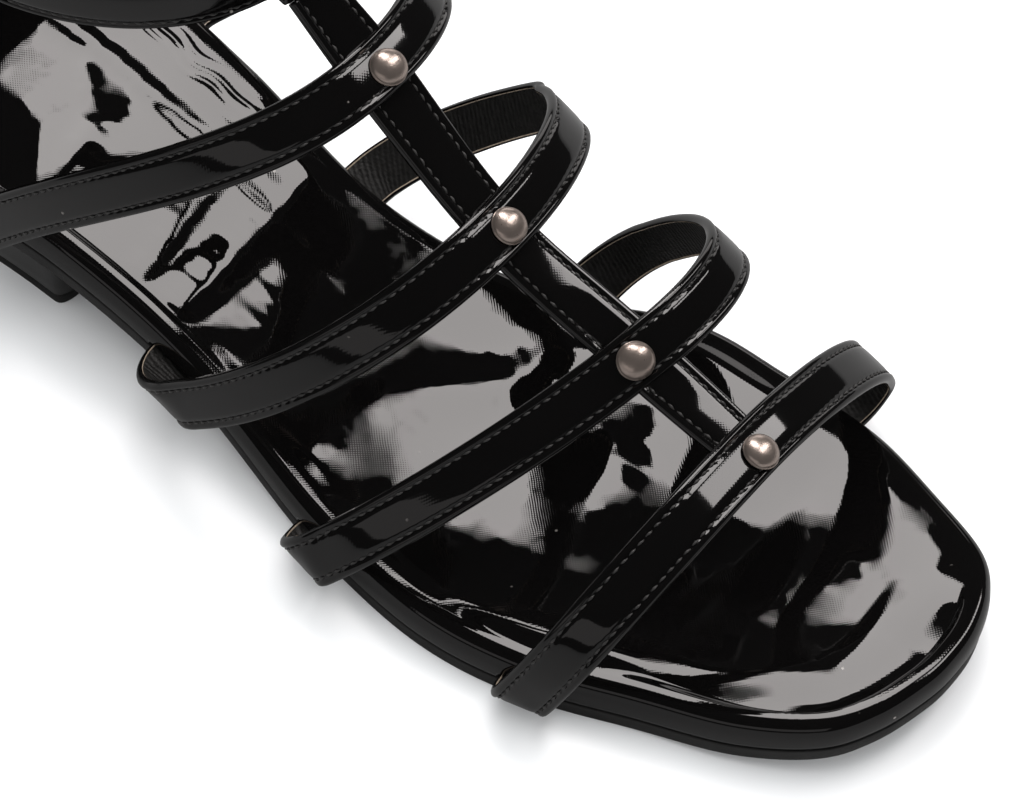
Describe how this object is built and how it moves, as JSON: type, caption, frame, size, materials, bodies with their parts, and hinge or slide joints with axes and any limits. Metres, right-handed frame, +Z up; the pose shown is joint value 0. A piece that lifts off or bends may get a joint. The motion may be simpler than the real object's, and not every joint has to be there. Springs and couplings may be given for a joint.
{
  "type": "roman sandal",
  "caption": "Right roman sandal with studded cross straps over a centre strap, a closed back, a buckled ankle strap, a padded insole and a low block heel.",
  "frame": {"origin": "on the floor, at the middle of the heel's flat underside", "axes": "+X from the heel to the toe, +Y to the inner side of the foot, +Z up from the floor"},
  "size_m": [0.2518, 0.0954, 0.1057],
  "materials": {
    "outsole": "dark grey, half matt",
    "heel_cover": "black, glossy cover",
    "insole_patent": "black patent, high gloss, slightly uneven",
    "strap_patent": "black patent outside, dull dark lining inside",
    "metal": "dark nickel, satin"
  },
  "bodies": {
    "root": {"outsole": "outsole", "heel_block": "heel_cover", "heel_top_piece": "outsole", "insole": "insole_patent", "upper_straps": "strap_patent", "heel_counter": "strap_patent", "ankle_strap": "strap_patent", "strap_keeper": "strap_patent", "buckle_frame": "metal", "buckle_prong": "metal", "stud_1": "metal", "stud_2": "metal", "stud_3": "metal", "stud_4": "metal"}
  },
  "joints": []
}
